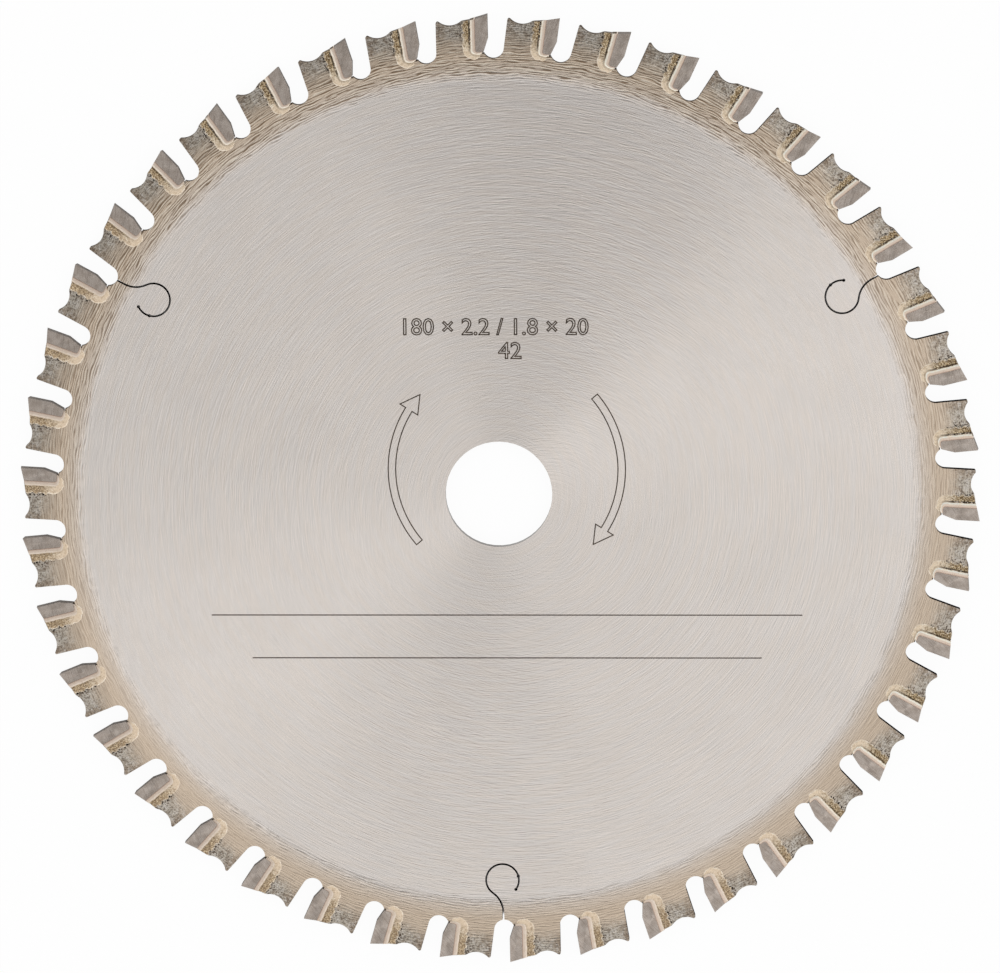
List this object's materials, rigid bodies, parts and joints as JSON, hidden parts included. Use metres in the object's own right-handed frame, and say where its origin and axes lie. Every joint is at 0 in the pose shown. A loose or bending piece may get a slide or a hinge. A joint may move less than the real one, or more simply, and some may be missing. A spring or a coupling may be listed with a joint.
{
  "type": "circular saw blade",
  "caption": "Flat steel circular saw blade with a plain arbor bore, brazed carbide tips with alternate top bevels, round gullets and hooked expansion slots.",
  "frame": {"origin": "centre of the arbor bore, in the middle plane of the plate", "axes": "+Z along the bore axis, up from the blade lying flat; +Y through the cutting edge of tooth 1; the blade cuts clockwise seen from +Z"},
  "size_m": [0.1794, 0.18, 0.0022],
  "materials": {
    "plate_steel": "ground steel with fine circular brush lines, heat tinted tan at the unground rim",
    "carbide": "fine ground sintered carbide, dull grey",
    "braze": "pale ground filler metal beside each tip, rough and tarnished behind it"
  },
  "bodies": {
    "root": {"saw_plate": "plate_steel", "tip_01": "carbide", "tip_02": "carbide", "tip_03": "carbide", "tip_04": "carbide", "tip_05": "carbide", "tip_06": "carbide", "tip_07": "carbide", "tip_08": "carbide", "tip_09": "carbide", "tip_10": "carbide", "tip_11": "carbide", "tip_12": "carbide", "tip_13": "carbide", "tip_14": "carbide", "tip_15": "carbide", "tip_16": "carbide", "tip_17": "carbide", "tip_18": "carbide", "tip_19": "carbide", "tip_20": "carbide", "tip_21": "carbide", "tip_22": "carbide", "tip_23": "carbide", "tip_24": "carbide", "tip_25": "carbide", "tip_26": "carbide", "tip_27": "carbide", "tip_28": "carbide", "tip_29": "carbide", "tip_30": "carbide", "tip_31": "carbide", "tip_32": "carbide", "tip_33": "carbide", "tip_34": "carbide", "tip_35": "carbide", "tip_36": "carbide", "tip_37": "carbide", "tip_38": "carbide", "tip_39": "carbide", "tip_40": "carbide", "tip_41": "carbide", "tip_42": "carbide", "braze_seams": "braze"}
  },
  "joints": []
}
